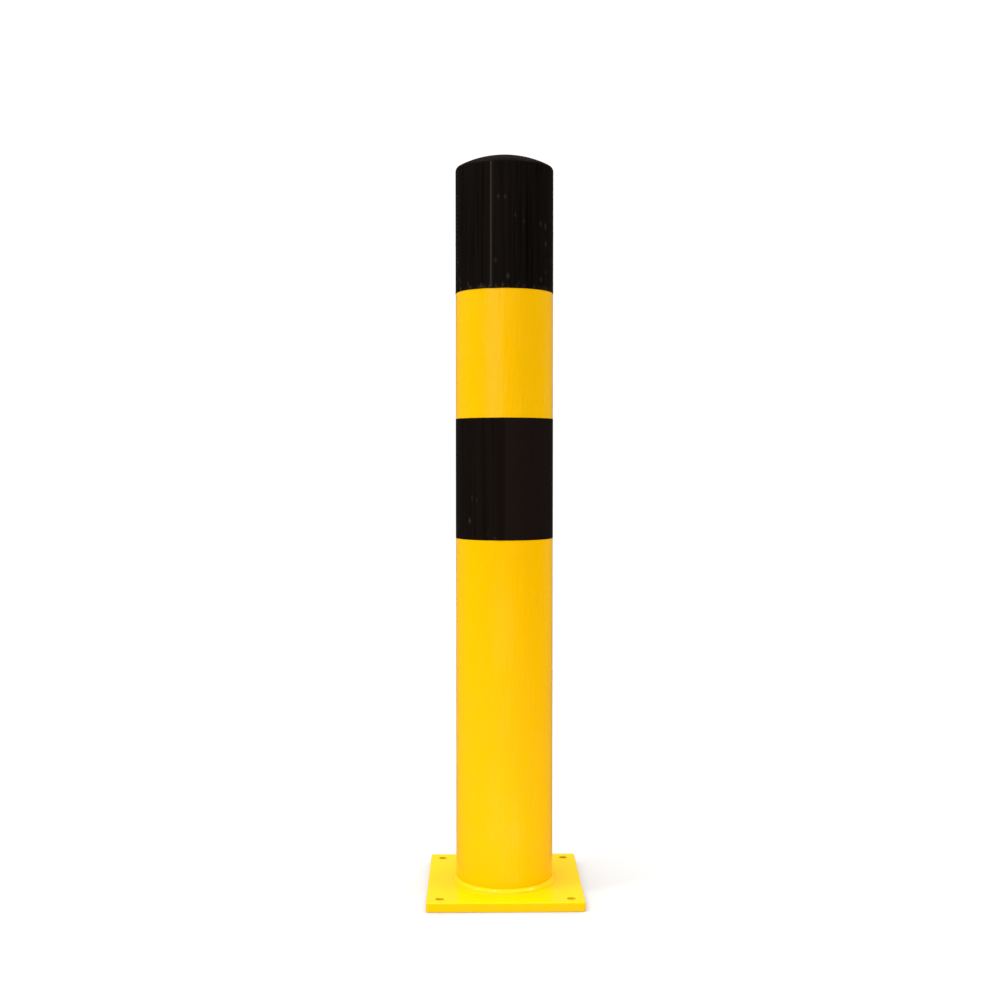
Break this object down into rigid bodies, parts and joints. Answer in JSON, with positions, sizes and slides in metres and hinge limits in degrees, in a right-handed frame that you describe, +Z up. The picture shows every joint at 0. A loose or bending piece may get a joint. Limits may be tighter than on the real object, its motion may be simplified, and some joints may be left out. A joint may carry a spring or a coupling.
{
  "type": "steel safety bollard",
  "caption": "Bolt-down round steel safety bollard with a domed cap, square base plate and black warning bands on yellow.",
  "frame": {"origin": "centre of the base plate's underside, on the post's axis", "axes": "+Z up along the post; X and Y along the base plate's edges; -Y is the front, where the bands' laps are"},
  "size_m": [0.25, 0.25, 1.2],
  "materials": {
    "yellow_powder_coat": "satin",
    "black_powder_coat": "satin",
    "black_film": "satin",
    "bare_weld": "satin"
  },
  "bodies": {
    "root": {"base_plate": "yellow_powder_coat", "post_tube": "yellow_powder_coat", "foot_weld": "yellow_powder_coat", "domed_cap": "black_powder_coat", "cap_weld": "bare_weld", "upper_band": "black_film", "lower_band": "black_film"}
  },
  "joints": []
}
